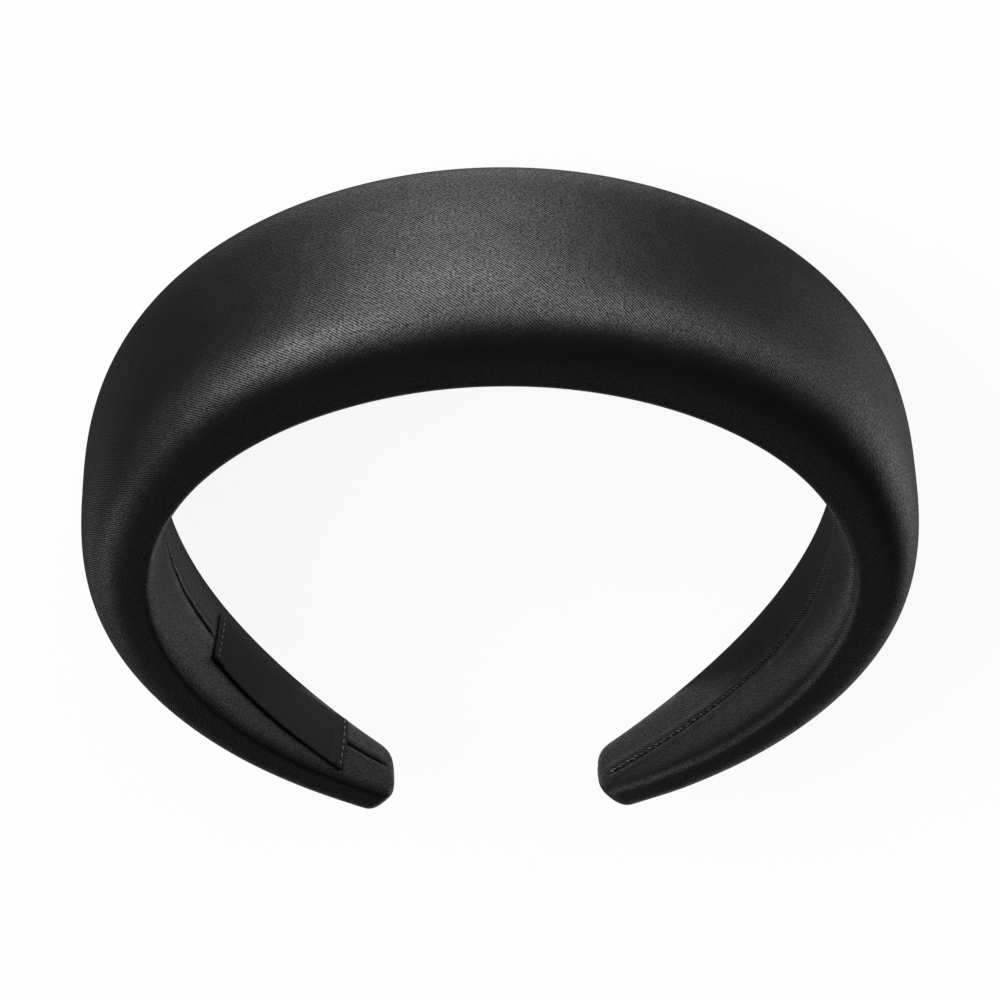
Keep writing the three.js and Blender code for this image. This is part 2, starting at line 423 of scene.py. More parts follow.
def cover_ring(half, seam):
    """The cover's section as places across the band, for half widths and places of the seam of shape
    (rows, 1), and for each ring step whether it lies on the inner face. It starts in the seam, runs to the
    front edge, over the pad to the rear edge, and back along the inner face."""
    zone = np.minimum(SEAM_ZONE, SEAM_ZONE_SHARE * half)
    in_zone = np.linspace(0, 1, ZONE_STEPS + 1)[:-1] ** ZONE_STEP_POWER
    to_edge = np.sin(np.pi / 2 * np.linspace(0, 1, INNER_STEPS + 1))[:-1]
    turn = np.cos(np.linspace(0, np.pi, PAD_STEPS + 1))
    over_pad = half * np.sign(turn) * np.abs(turn) ** PAD_STEP_POWER
    beside = {}
    for side in (1, -1):
        start = seam + side * zone
        inner = start + (side * half - start) * to_edge
        beside[side] = np.concatenate([seam + side * zone * in_zone, inner], 1)
    rear = np.flip(beside[-1], 1)[:, :-1]
    across = np.concatenate([beside[1], over_pad, rear], 1)
    steps = beside[1].shape[1]
    on_inner = np.ones(across.shape[1], bool)
    on_inner[steps : steps + PAD_STEPS + 1] = False
    return across, on_inner


def cover_cloth(points):
    """The cloth's own coordinates in metres, along the hoop over the middle of the pad and around the section
    from there, with one column more than ring steps, so that the map is cut at the seam."""
    middle = ZONE_STEPS + INNER_STEPS + PAD_STEPS // 2
    closed = np.concatenate([points, points[:, :1]], 1)
    around = np.linalg.norm(np.diff(closed, axis=1), axis=-1)
    around = np.concatenate([np.zeros((len(points), 1)), np.cumsum(around, 1)], 1)
    around -= around[:, middle : middle + 1]
    spine = points[:, middle]
    length = np.concatenate([[0], np.cumsum(np.linalg.norm(np.diff(spine, axis=0), axis=-1))])
    length -= length[len(length) // 2]
    return np.stack(np.broadcast_arrays(length[:, None], around), -1)


def stitch_wave(settings, signed_share):
    """1 at the middle of each stitch of the seam, -1 halfway between two: a cosine of the length."""
    return np.cos(2 * np.pi * signed_share * HALF_LENGTH / settings.stitch_pitch)


def seam_relief(settings, signed_share, from_seam):
    """How far the cloth stands out beside the closing seam, and sinks into it.

    A narrow bell for the groove, a wider one on each side for the rolled lips, a dimple at each stitch and
    small gathers that fade away from the seam. All end at the tips and under the label."""
    groove = -settings.seam_depth * fade(from_seam, GROOVE_REACH)
    lips = settings.lip_height * fade(np.abs(from_seam) - LIP_DISTANCE, LIP_REACH)
    stitch = stitch_wave(settings, signed_share)
    dimples = -settings.seam_depth * DIMPLE_SHARE * stitch * fade(from_seam, DIMPLE_REACH)
    waves = 0
    for pitch, shift, share in GATHERS:
        waves = waves + share * np.sin(2 * np.pi * signed_share * HALF_LENGTH / pitch + shift)
    gathers = settings.gather_height * waves * fade(from_seam, GATHER_REACH, 1)
    gathers = gathers * (1 - fade(from_seam, GATHER_START))
    return sewn_at(signed_share) * (groove + lips + dimples + gathers)


def cover_surface(settings):
    """The satin cover's rows of rings, its two poles, its cloth map and where shade is painted in its seam's
    groove.
    """
    signed_share = cover_shares()[:, None]
    share = np.abs(signed_share)
    half = half_width_at(share)
    seam = np.clip(seam_place(signed_share), -SEAM_REACH * half, SEAM_REACH * half)
    across, on_inner = cover_ring(half, seam)
    height = np.where(on_inner, inner_height(share, across), pad_height(share, across))
    points = hoop_points(signed_share, across, height)
    cloth = cover_cloth(points)
    from_seam = np.where(on_inner, across - seam, FAR)
    points = points + ring_normals(points) * seam_relief(settings, signed_share, from_seam)[..., None]
    # Painted shade in the seam's groove: full at each stitch, less between them.
    at_stitch = GROOVE_SHADE_BETWEEN + (1 - GROOVE_SHADE_BETWEEN) * (1 + stitch_wave(settings, signed_share)) / 2
    groove_shade = sewn_at(signed_share) * at_stitch * fade(from_seam, GROOVE_SHADE_REACH, 4)
    return close_tips(points, cloth, groove_shade)


def close_tips(points, cloth, groove_shade):
    """Adds to each end a low round cap: rings that shrink onto the end's middle by the cosine of a quarter
    turn, as they bulge outwards by its sine."""
    turn = np.linspace(0, np.pi / 2, CAP_ROWS + 2)[1:-1, None, None]
    caps = []
    cap_cloths = []
    poles = []
    for end, beside in ((0, 1), (-1, -2)):
        middle = points[end].mean(0)
        bulge = unit(middle - points[beside].mean(0)) * TIP_END_BULGE
        caps.append(middle + (points[end] - middle) * np.cos(turn) + bulge * np.sin(turn))
        cap_cloths.append(cloth[end] * [1, 0] + cloth[end] * [0, 1] * np.cos(turn))
        poles.append(middle + bulge)
    unshaded = np.zeros((CAP_ROWS, points.shape[1]))
    rings = pressed_flat(np.concatenate([caps[0][::-1], points, caps[1]]))
    cloth = np.concatenate([cap_cloths[0][::-1], cloth, cap_cloths[1]])
    return rings, poles, cloth, np.concatenate([unshaded, groove_shade, unshaded])


class HEADBAND_OT_satin_cover(bpy.types.Operator):
    """Builds the satin cover over the padding: a superellipse section along the hoop, with its seam"""

    bl_idname = "headband.satin_cover"
    bl_label = "Satin Cover"

    def execute(self, context):
        settings = context.scene.headband
        mesh = ring_mesh("satin_cover", *cover_surface(settings))
        cover = add_piece(context, mesh, satin(settings))
        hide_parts(BAND_NODE)
        return {"FINISHED"}


# ---- Sewing thread -------------------------------------------------------------------------------------

THREAD_RINGS = 7
THREAD_SIDES = 8

# How far a stitch of each row is bowed, as a share of the thread's thickness, and how much the thread shines.
SEAM_STITCH_BOW = 1 / 3
LABEL_STITCH_BOW = 1 / 4
SEAM_THREAD_SHINE = 0.06
LABEL_THREAD_SHINE = 0.3

# How far the seam's stitches sink into its groove, as a share of its depth, and how far under the label one
# may be, from 0 to 1, before it is left out.
SEAM_STITCH_SINK = 0.75
UNDER_LABEL_LIMIT = 0.01

# A short way, by which directions at a point of the cloth are found.
NUDGE = 0.0002


def stitches_mesh(name, middles, forwards, upwards, length, thickness, bow):
    """Stitches of shape (count, 3) as one mesh: each is a bowed capsule, whose height over its ends is `bow`
    thicknesses times 1 - t squared and whose radius is the thread's times the fourth root of 1 - t to the
    fourth, for t from -1 to 1 along it."""
    t = np.linspace(-1, 1, THREAD_RINGS + 2)[None, 1:-1, None]
    turn = np.linspace(0, 2 * np.pi, THREAD_SIDES, endpoint=False)[:, None]
    middles, half_way = middles[:, None], forwards[:, None] * length / 2
    centres = middles + t * half_way + (1 - t**2) * upwards[:, None] * thickness * bow
    radius = thickness / 2 * (1 - t**4)[..., None] ** 0.25
    sideways = unit(np.cross(forwards, upwards))[:, None, None]
    round_way = np.cos(turn) * sideways + np.sin(turn) * upwards[:, None, None]
    rings = (centres[:, :, None] + radius * round_way).reshape(len(middles), -1, 3)
    points = np.concatenate([rings, middles - half_way, middles + half_way], 1)
    quads, triangles, _, _ = ring_faces(THREAD_RINGS, THREAD_SIDES)
    first_points = np.arange(len(middles))[:, None, None] * points.shape[1]
    quads = (quads + first_points).reshape(-1, 4)
    triangles = (triangles + first_points).reshape(-1, 3)
    return smooth_mesh(name, points.reshape(-1, 3), quads, triangles)


def hoop_directions(signed_share, across, height):
    """Points over the inner face, and unit vectors there: along the hoop, across it and up from the cloth."""
    here = hoop_points(signed_share, across, height)
    ahead = hoop_points(signed_share + NUDGE / HALF_LENGTH, across, height)
    beside = hoop_points(signed_share, across + NUDGE, height)
    above = hoop_points(signed_share, across, height - NUDGE)
    return here, unit(ahead - here), unit(beside - here), unit(above - here)


class HEADBAND_OT_seam_stitches(bpy.types.Operator):
    """Sews the closing seam: a row of bowed capsules sunk in its groove, left out under the label"""

    bl_idname = "headband.seam_stitches"
    bl_label = "Seam Stitches"

    def execute(self, context):
        settings = context.scene.headband
        pitch = settings.stitch_pitch
        reach = int((HALF_LENGTH - SEAM_END) / pitch)
        signed_share = np.arange(-reach, reach + 1) * pitch / HALF_LENGTH
        signed_share = signed_share[under_label(signed_share) < UNDER_LABEL_LIMIT]
        across = seam_place(signed_share)
        height = inner_height(np.abs(signed_share), across) + settings.seam_depth * SEAM_STITCH_SINK
        here, ahead, _, upwards = hoop_directions(signed_share, across, height)
        length, thickness = pitch * settings.stitch_share, settings.thread_thickness
        mesh = stitches_mesh("seam_stitches", here, ahead, upwards, length, thickness, SEAM_STITCH_BOW)
        material = thread("seam thread", settings.seam_thread_colour, SEAM_THREAD_SHINE)
        add_piece(context, mesh, material)
        return {"FINISHED"}


# ---- The woven label -----------------------------------------------------------------------------------

# The label lies this far off the cover. Its thickness is given as shares of the tape's: what the fold under
# each end adds, what is left at the very end, where it rounds off, and the rib along each woven edge.
LABEL_GAP = 0.0001
FOLD_LENGTH = 0.0034
FOLD_SLOPE = 0.0005
FOLD_EXTRA = 0.8
END_ROUNDING = 0.0005
END_THICKNESS = 0.45
SELVEDGE_WIDTH = 0.0007
RIB_REACH = 0.00022
RIB_EXTRA = 0.22

# A row of stitches across each end nips the tape. The nip starts at one distance from the woven edges and is
# full at another.
END_STITCHES = 7
STITCHES_FROM_END = 0.0011
NIP_DEPTH = 0.45
NIP_REACH = 0.0005
NIP_START = 0.0003
NIP_FULL = 0.0012

# The front edge curls up over this distance.
CURL_REACH = 0.0012

# The label's rows along it, how much they crowd at its ends, and the steps across each of its faces. Its ends
# close on poles at this share of the tape's thickness.
LABEL_ROWS = 181
LABEL_CROWDING = 0.7
LABEL_STEPS = 56
POLE_RISE = 0.4


def label_thickness(settings, from_crown_end, from_front):
    """The tape's thickness: nearly doubled where its ends are folded under, nipped by the stitches there,
    rounded off at the very ends, and with a rib along each woven edge."""
    from_end = np.minimum(from_crown_end, 1 - from_crown_end) * LABEL_LENGTH
    from_edge = np.minimum(from_front, 1 - from_front) * LABEL_WIDTH
    folded = 1 - smooth_step(from_end, FOLD_LENGTH - FOLD_SLOPE, FOLD_LENGTH + FOLD_SLOPE)
    nip = fade(from_end - STITCHES_FROM_END, NIP_REACH) * smooth_step(from_edge, NIP_START, NIP_FULL)
    rounded = dome(1 - np.minimum(from_end / END_ROUNDING, 1), 2)
    layers = (1 + FOLD_EXTRA * folded - NIP_DEPTH * nip) * (END_THICKNESS + (1 - END_THICKNESS) * rounded)
    return settings.tape_thickness * (layers + RIB_EXTRA * fade(from_edge - SELVEDGE_WIDTH, RIB_REACH))


def label_points(from_crown_end, from_front, lift):
    """Points over the cover, under the label's outline, given as shares of its length and width and by how
    far they lift off the cover."""
    signed_share, across = label_place(from_crown_end, from_front)
    return hoop_points(signed_share, across, inner_height(np.abs(signed_share), across) - LABEL_GAP - lift)


def label_surface(settings):
    """The label's rows of rings, its two poles and its cloth map. A ring runs from the front edge to the rear
    one along the face that shows, round the rear edge, and back underneath."""
    even = np.linspace(0, 1, LABEL_ROWS)[:, None]
    from_crown_end = even - LABEL_CROWDING * np.sin(2 * np.pi * even) / (2 * np.pi)
    showing = (1 - np.cos(np.linspace(0, np.pi, LABEL_STEPS))) / 2
    from_front = np.concatenate([showing, showing[::-1]])
    on_top = np.repeat([1, 0], LABEL_STEPS)
    curl = settings.edge_curl * fade(from_front * LABEL_WIDTH, CURL_REACH, 1)
    lift = curl + on_top * label_thickness(settings, from_crown_end, from_front)
    points = label_points(from_crown_end, from_front, lift)
    poles = label_points(np.array([0.0, 1.0]), 0.5, settings.tape_thickness * POLE_RISE)
    cloth_across = np.concatenate([from_front, from_front[:1]]) * LABEL_WIDTH
    cloth = np.stack(np.broadcast_arrays(from_crown_end * LABEL_LENGTH, cloth_across), -1)
    return points, poles, cloth


class HEADBAND_OT_woven_label(bpy.types.Operator):
    """Builds the blank woven label: a tape on the inner face, thicker at its folded ends and woven edges"""

    bl_idname = "headband.woven_label"
    bl_label = "Woven Label"

    def execute(self, context):
        settings = context.scene.headband
        mesh = ring_mesh("woven_label", *label_surface(settings))
        piece = add_piece(context, mesh, woven_tape(settings))
        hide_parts(LABEL_NODE)
        return {"FINISHED"}


class HEADBAND_OT_label_stitches(bpy.types.Operator):
    """Sews the label on: a row of bowed capsules inside each of its folded ends"""

    bl_idname = "headband.label_stitches"
    bl_label = "Label Stitches"

    def execute(self, context):
        settings = context.scene.headband
        from_end = STITCHES_FROM_END / LABEL_LENGTH
        from_crown_end = np.repeat([from_end, 1 - from_end], END_STITCHES)
        from_front = np.tile((np.arange(END_STITCHES) + 0.5) / END_STITCHES, 2)
        signed_share, across = label_place(from_crown_end, from_front)
        lift = LABEL_GAP + label_thickness(settings, from_crown_end, from_front)
        height = inner_height(np.abs(signed_share), across) - lift
        here, ahead, beside, upwards = hoop_directions(signed_share, across, height)
        along_row = unit(LABEL_WIDTH * beside + LABEL_ASKEW * ahead)
        length = LABEL_WIDTH / END_STITCHES * settings.stitch_share
        thickness = settings.thread_thickness
        mesh = stitches_mesh("label_stitches", here, along_row, upwards, length, thickness, LABEL_STITCH_BOW)
        material = thread("label thread", settings.label_thread_colour, LABEL_THREAD_SHINE)
        add_piece(context, mesh, material)
        return {"FINISHED"}


# ---- Materials -----------------------------------------------------------------------------------------

WHITE = (1, 1, 1, 1)

# The satin's lines: the angle between them and the section round the hoop, and how they wander, as pairs of
# the size of the bends and how far they reach.
TWILL_SLANT = math.radians(40)
TWILL_WANDERS = ((0.006, 0.0008), (0.0014, 0.0003))

# The sizes of what else varies over the satin, from the grain of its yarns to the broad swells of the pad.
SATIN_GRAIN = 0.0005
SATIN_PATCHES = 0.0022
SATIN_CLOUDS = 0.008
SATIN_SWELLS = 0.025

# How wide the gaps between the satin's floats are, and how much patches, grain and the painted shade in the
# seam's groove add to them.
GAP_WIDTH = 0.6
GAP_FROM_PATCHES = 0.9
GAP_FROM_GRAIN = 2.6
GAP_FROM_GROOVE_SHADE = 2.0

# The depth of the satin's relief, and the share that each layer has in it.
SATIN_DEPTH = 0.00004
RELIEF_OF_FLOATS = 0.5
RELIEF_OF_GRAIN = 0.3
RELIEF_OF_CLOUDS = 5.0
RELIEF_OF_SWELLS = 10.0

# How much the satin's gloss varies, and how dark, rough and faintly shining its gaps are: a painted shade
# between the floats. At their middle they are this much like that, and the rest like the floats.
SATIN_GLOSS_SWING = 0.12
GAP_SHADE = 0.5
GAP_ROUGHNESS = 0.8
GAP_SHINE = 0.08
GAP_DULLNESS = 0.97

# The label's tape: the pitches of its ribs and picks, the sizes of its grain and clouds, and its finish.
TAPE_RIB_PITCH = 0.00038
TAPE_PICK_PITCH = 0.0003
TAPE_GRAIN = 0.0004
TAPE_CLOUDS = 0.005
TAPE_DEPTH = 0.00006
TAPE_ROUGHNESS = 0.72
TAPE_ROUGHNESS_SWING = 0.1
TAPE_SHINE = 0.13

# The tape's palest places are this many times as pale as the rest. A painted highlight on the weave's raised
# crossings and the grain make it paler by these shares, and so do lines of this width along its rear woven
# edge, given as pairs of how many selvedge widths a line lies from the edge and its own share.
TAPE_PALEST = 5
WEAVE_HIGHLIGHT = 0.15
PALER_FROM_GRAIN = 0.1
EDGE_LINE_WIDTH = 0.00016
EDGE_LINES = ((1, 1.0), (2.2, 0.6))

# The thread: the size of its strands, its relief, how much shade is painted between them, and its gloss.
STRAND_SIZE = 0.00018
STRAND_DEPTH = 0.00006
STRAND_SHADE = 0.5
THREAD_ROUGHNESS = 0.6
THREAD_ROUGHNESS_SWING = 0.2


class Value:
    """A node's output. Where it is a number, Python's operators on it add Math nodes."""

    def __init__(self, nodes, socket):
        self.nodes = nodes
        self.socket = socket

    def math(self, operation, *values):
        """The result of a Math node on this value and others."""
        inputs = dict(enumerate((self, *values)))
        return self.nodes.node("ShaderNodeMath", inputs, {"operation": operation})

    def __add__(self, other):
        return self.math("ADD", other)

    def __sub__(self, other):
        return self.math("SUBTRACT", other)

    def __rsub__(self, other):
        return self.nodes.node("ShaderNodeMath", {0: other, 1: self}, {"operation": "SUBTRACT"})

    def __mul__(self, other):
        return self.math("MULTIPLY", other)

    def __truediv__(self, other):
        return self.math("DIVIDE", other)

    def __pow__(self, other):
        return self.math("POWER", other)

    __radd__ = __add__
    __rmul__ = __mul__

    def wave(self, pitch):
        """A cosine of this length in metres, from 0 to 1, that repeats at each pitch."""
        return (self * (2 * math.pi / pitch)).math("COSINE") * 0.5 + 0.5

    def fade(self, middle, reach):
        """A bell over this length: e to the minus square of the distance from its middle over its reach."""
        return (((self - middle) / reach) ** 2 * -1).math("EXPONENT")

    def clamped(self):
        """This value kept between 0 and 1."""
        return self.math("MINIMUM", 1).math("MAXIMUM", 0)


class Nodes:
    """The node tree of a new material or world."""

    def __init__(self, owner):
        self.owner = owner
        owner.use_nodes = True
        self.tree = owner.node_tree
        self.tree.nodes.clear()

    def node(self, kind, inputs=None, settings=None, output=0):
        """Adds a node, sets its settings and then its inputs, and returns one of its outputs."""
        made = self.tree.nodes.new(kind)
        for name, value in (settings or {}).items():
            setattr(made, name, value)
        for name, value in (inputs or {}).items():
            if isinstance(value, Value):
                self.tree.links.new(value.socket, made.inputs[name])
            else:
                made.inputs[name].default_value = value
        return None if output is None else Value(self, made.outputs[output])

    def cloth(self):
        """The cloth's own coordinates along and across, in metres, and both as a vector."""
        place = self.node("ShaderNodeUVMap", settings={"uv_map": "cloth"})
        length = self.node("ShaderNodeSeparateXYZ", {0: place}, output="X")
        width = self.node("ShaderNodeSeparateXYZ", {0: place}, output="Y")
        return length, width, place

    def object_place(self):
        """The place on the object, in metres, as a vector."""
        return self.node("ShaderNodeTexCoord", output="Object")

    def noise(self, place, size, detail=2.0):
        """Noise from 0 to 1 about 0.5, whose spots have about this size in metres."""
        inputs = {"Vector": place, "Scale": 1 / size, "Detail": detail}
        return self.node("ShaderNodeTexNoise", inputs, output="Fac")

    def blend(self, share, first, second):
        """A colour between two. A Mix node's sockets 6 and 7 take the colours, and 2 gives their blend."""
        return self.node("ShaderNodeMix", {0: share, 6: first, 7: second}, {"data_type": "RGBA"}, 2)

    def end(self, shader, kind="ShaderNodeOutputMaterial"):
        """Ends the tree with a shader, and returns the material or world that it belongs to."""
        self.node(kind, {"Surface": shader}, output=None)
        return self.owner

    def surface(self, inputs, relief, depth, other=None, share=0.0):
        """Ends a material: a Principled BSDF with these inputs over a relief, which rises by this depth for
        each 1, mixed by this share with a second one that has the other inputs."""
        normal = self.node("ShaderNodeBump", {"Height": relief, "Distance": depth, "Strength": 1.0})
        shader = self.node("ShaderNodeBsdfPrincipled", {**inputs, "Normal": normal})
        if other:
            second = self.node("ShaderNodeBsdfPrincipled", {**other, "Normal": normal})
            shader = self.node("ShaderNodeMixShader", {0: share, 1: shader, 2: second})
        return self.end(shader)


def paint(colour, strength=1.0):
    """A colour made darker or lighter, with the alpha that a node's colour has."""
    return (*(strength * c for c in colour), 1)


def satin(settings):
    """Black satin: slanting lines of glossy floats with dull gaps between them, uneven in depth and gloss.
    The gaps are painted darker and duller as shade between the floats, and the seam's groove gets the same
    painted shade, most at each stitch, so that only the shaded gaps show there."""
    nodes = Nodes(bpy.data.materials.new("black satin"))
    length, width, place = nodes.cloth()
    slanting = length * math.sin(TWILL_SLANT) + width * math.cos(TWILL_SLANT)
    for size, reach in TWILL_WANDERS:
        slanting = slanting + nodes.noise(place, size) * reach
    floats = slanting.wave(settings.twill_pitch)
    grain = nodes.noise(place, SATIN_GRAIN, detail=3.0)
    patchy = nodes.noise(place, SATIN_PATCHES)
    cloudy = nodes.noise(place, SATIN_CLOUDS, detail=3.0)
    broad = nodes.noise(place, SATIN_SWELLS)
    # Where shade is painted in the seam's groove.
    groove_shade = nodes.node("ShaderNodeAttribute", settings={"attribute_name": "groove_shade"}, output="Fac")
    # The gaps between the floats are painted darker and duller as shade, and so is the seam's groove.
    shaded_gaps = (1 - floats) * (GAP_WIDTH + patchy * GAP_FROM_PATCHES)
    shaded_gaps = (shaded_gaps + (grain - 0.5) * GAP_FROM_GRAIN + groove_shade * GAP_FROM_GROOVE_SHADE).clamped()
    relief = (1 - shaded_gaps) * RELIEF_OF_FLOATS + grain * RELIEF_OF_GRAIN
    relief = relief + cloudy * RELIEF_OF_CLOUDS + broad * RELIEF_OF_SWELLS
    colour = paint(settings.satin_colour)
    # Painted shade between the floats: the gaps' darker colour.
    dark = paint(settings.satin_colour, GAP_SHADE)
    roughness = settings.satin_roughness + (cloudy - 0.5 + broad - 0.5) * SATIN_GLOSS_SWING
    glossy = {"Base Color": nodes.blend(shaded_gaps, colour, dark), "Roughness": roughness}
    dull = {"Base Color": dark, "Roughness": GAP_ROUGHNESS, "Specular IOR Level": GAP_SHINE}
    return nodes.surface(glossy, relief, SATIN_DEPTH, dull, shaded_gaps * GAP_DULLNESS)


def woven_tape(settings):
    """Matt black tape: a fine plain weave of ribs across threads, with a painted highlight where they cross
    and paler lines along its rear edge.
    """
    nodes = Nodes(bpy.data.materials.new("woven tape"))
    length, width, place = nodes.cloth()
    ribs = width.wave(TAPE_RIB_PITCH)
    picks = length.wave(TAPE_PICK_PITCH)
    grain = nodes.noise(place, TAPE_GRAIN, detail=3.0)
    cloudy = nodes.noise(place, TAPE_CLOUDS)
    # Painted highlight where the ribs and picks cross, with the grain's tone.
    paler_and_highlit = ribs * picks * WEAVE_HIGHLIGHT + grain * PALER_FROM_GRAIN
    for selvedges, share in EDGE_LINES:
        paler_and_highlit = paler_and_highlit + width.fade(LABEL_WIDTH - selvedges * SELVEDGE_WIDTH, EDGE_LINE_WIDTH) * share
    palest = paint(settings.label_colour, TAPE_PALEST)
    inputs = {
        "Base Color": nodes.blend(paler_and_highlit.clamped(), paint(settings.label_colour), palest),
        "Roughness": TAPE_ROUGHNESS + (cloudy - 0.5) * TAPE_ROUGHNESS_SWING,
        "Specular IOR Level": TAPE_SHINE,
    }
    return nodes.surface(inputs, (ribs + picks + grain) * 0.5, TAPE_DEPTH)


def thread(name, colour, shine):
    """Sewing thread: fine strands with shade painted between them, and this much shine."""
    nodes = Nodes(bpy.data.materials.new(name))
    strands = nodes.noise(nodes.object_place(), STRAND_SIZE)
    # Painted shade: the thread is darker between its strands, where its relief is low.
    inputs = {
        "Base Color": nodes.blend(strands, paint(colour, STRAND_SHADE), paint(colour)),
        "Roughness": THREAD_ROUGHNESS + strands * THREAD_ROUGHNESS_SWING,
        "Specular IOR Level": shine,
    }
    return nodes.surface(inputs, strands, STRAND_DEPTH)


# ---- The stage -----------------------------------------------------------------------------------------

# The scene stands in a round tent. Its floor and wall glow white over a dull grey, which varies a little.
TENT_RADIUS = 3.0
TENT_ROWS = 49
TENT_GLOW = 0.915
TENT_PALENESS = 0.07
TENT_UNEVENNESS = 0.04
TENT_GRAIN = 0.01
TENT_ROUGHNESS = 0.9

# The pale floor at the hoop's mouth, as the inner faces of the two arms mirror it.
MOUTH_MIDDLE_Y = -0.064
MOUTH_RADIUS = 0.036
MOUTH_RISE = 0.0003
MOUTH_ROWS = 5
MOUTH_GLOW = 0.6

# How many sides the tent and the floor's glow have.
ROUND_STEPS = 64

# What the satin mirrors: soft lights all round, each a round glow at an azimuth from +Y towards +X and an
# elevation, both in degrees, with its brightness. Those from -60 to 54 degrees light the crown, its outer
# face from below the level and its shoulder from above. The others, to the sides and behind, light the arms
# and the front edge. All fade as sharply.
SOFT_LIGHTS = (
    (-132, -20, 0.4),
    (-132, 20, 1.5),
    (-72, 0, 0.9),
    (-60, 40, 4.6),
    (-36, 20, 9.0),
    (-12, -80, 1.6),
    (-12, -40, 2.4),
    (-12, -20, 7.0),
    (12, 0, 4.0),
    (18, 20, 4.0),
    (54, 0, 2.2),
    (78, -20, 0.9),
    (112, -24, 1.7),
    (168, -20, 0.6),
    (168, 40, 0.25),
)
LIGHT_SHARPNESS = 16
DARK_SURROUND = 0.02

# The camera looks down on the crown from beyond it, so that the wearer's-front edge is nearest.
CAMERA_LENS = 126.4
CAMERA_SENSOR = 36
CAMERA_DISTANCE = 0.673
CAMERA_AZIMUTH = -1.7
CAMERA_ELEVATION = 47.4
CAMERA_ROLL = -1.4
CAMERA_SHIFT_Y = 0.0405
CAMERA_NEAREST = 0.01


def direction(azimuth, elevation):
    """The unit vector towards an azimuth from +Y towards +X and an elevation, in degrees."""
    azimuth, elevation = math.radians(azimuth), math.radians(elevation)
    level = math.cos(elevation)
    return Vector((math.sin(azimuth) * level, math.cos(azimuth) * level, math.sin(elevation)))


def add_camera(context, middle_height):
    """A camera that looks at the middle of the hoop. Its top is towards +Y."""
    roll = math.radians(CAMERA_ROLL)
    back = direction(CAMERA_AZIMUTH, CAMERA_ELEVATION)
    right = direction(CAMERA_AZIMUTH + 90, 0)
    upwards = back.cross(right)
    rolled_right = right * math.cos(roll) + upwards * math.sin(roll)
    rolled_up = upwards * math.cos(roll) - right * math.sin(roll)
    turn = Matrix((rolled_right, rolled_up, back)).transposed()
    data = bpy.data.cameras.new("camera")
    data.lens = CAMERA_LENS
    data.sensor_width = CAMERA_SENSOR
    data.shift_y = CAMERA_SHIFT_Y
    data.clip_start = CAMERA_NEAREST
    camera = bpy.data.objects.new("camera", data)
    place = Vector((0, 0, middle_height)) + back * CAMERA_DISTANCE
    camera.matrix_world = Matrix.Translation(place) @ turn.to_4x4()
    context.scene.collection.objects.link(camera)
    context.scene.camera = camera


def round_mesh(name, middle_y, radius, rows, height_at):
    """A closed round mesh about the upright line through this y: a ball's rings, evenly spaced in latitude,
    whose height is a function of the sine of their latitude."""
    latitude = np.linspace(-np.pi / 2, np.pi / 2, rows + 2)[1:-1, None]
    turn = np.linspace(0, 2 * np.pi, ROUND_STEPS, endpoint=False)
    reach = radius * np.cos(latitude)
    x, y = reach * np.cos(turn), middle_y + reach * np.sin(turn)
    points = np.stack(np.broadcast_arrays(x, y, height_at(np.sin(latitude))), -1)
    return ring_mesh(name, points, [(0, middle_y, height_at(sine)) for sine in (-1, 1)])


def glowing_piece(context, mesh, material, unseen_by):
    """Links a piece of the stage that glows but isn't sampled as a lamp, unseen by these kinds of rays."""
    material.cycles.emission_sampling = "NONE"
    mesh.materials.append(material)
    piece = bpy.data.objects.new(mesh.name, mesh)
    for kind in unseen_by:
        setattr(piece, f"visible_{kind}", False)
    context.scene.collection.objects.link(piece)
    return piece


def add_tent(context):
    """A pale round tent: a ball's surface, its lower half pressed flat into the floor. The camera sees it
    from inside, and the headband doesn't mirror it."""
    mesh = round_mesh("floor", 0, TENT_RADIUS, TENT_ROWS, lambda sine: TENT_RADIUS * np.maximum(sine, 0))
    nodes = Nodes(bpy.data.materials.new("pale floor"))
    grain = nodes.noise(nodes.object_place(), TENT_GRAIN)
    grey = (TENT_PALENESS,) * 3
    inputs = {
        "Base Color": nodes.blend(grain, paint(grey), paint(grey, 1 + TENT_UNEVENNESS)),
        "Roughness": TENT_ROUGHNESS,
        "Specular IOR Level": 0.0,
        "Emission Color": WHITE,
        "Emission Strength": TENT_GLOW,
    }
    material = nodes.end(nodes.node("ShaderNodeBsdfPrincipled", inputs))
    floor = glowing_piece(context, mesh, material, ("diffuse", "glossy", "shadow"))


def add_mouth_glow(context):
    """The floor between the tips, which the tent can't show to the satin: a low round plate that only glossy
    rays see."""
    mesh = round_mesh(
        "floor_glow", MOUTH_MIDDLE_Y, MOUTH_RADIUS, MOUTH_ROWS, lambda sine: MOUTH_RISE * (1 + sine)
    )
    nodes = Nodes(bpy.data.materials.new("floor glow"))
    material = nodes.end(nodes.node("ShaderNodeEmission", {"Color": WHITE, "Strength": MOUTH_GLOW}))
    plate = glowing_piece(context, mesh, material, ("camera", "diffuse", "shadow"))


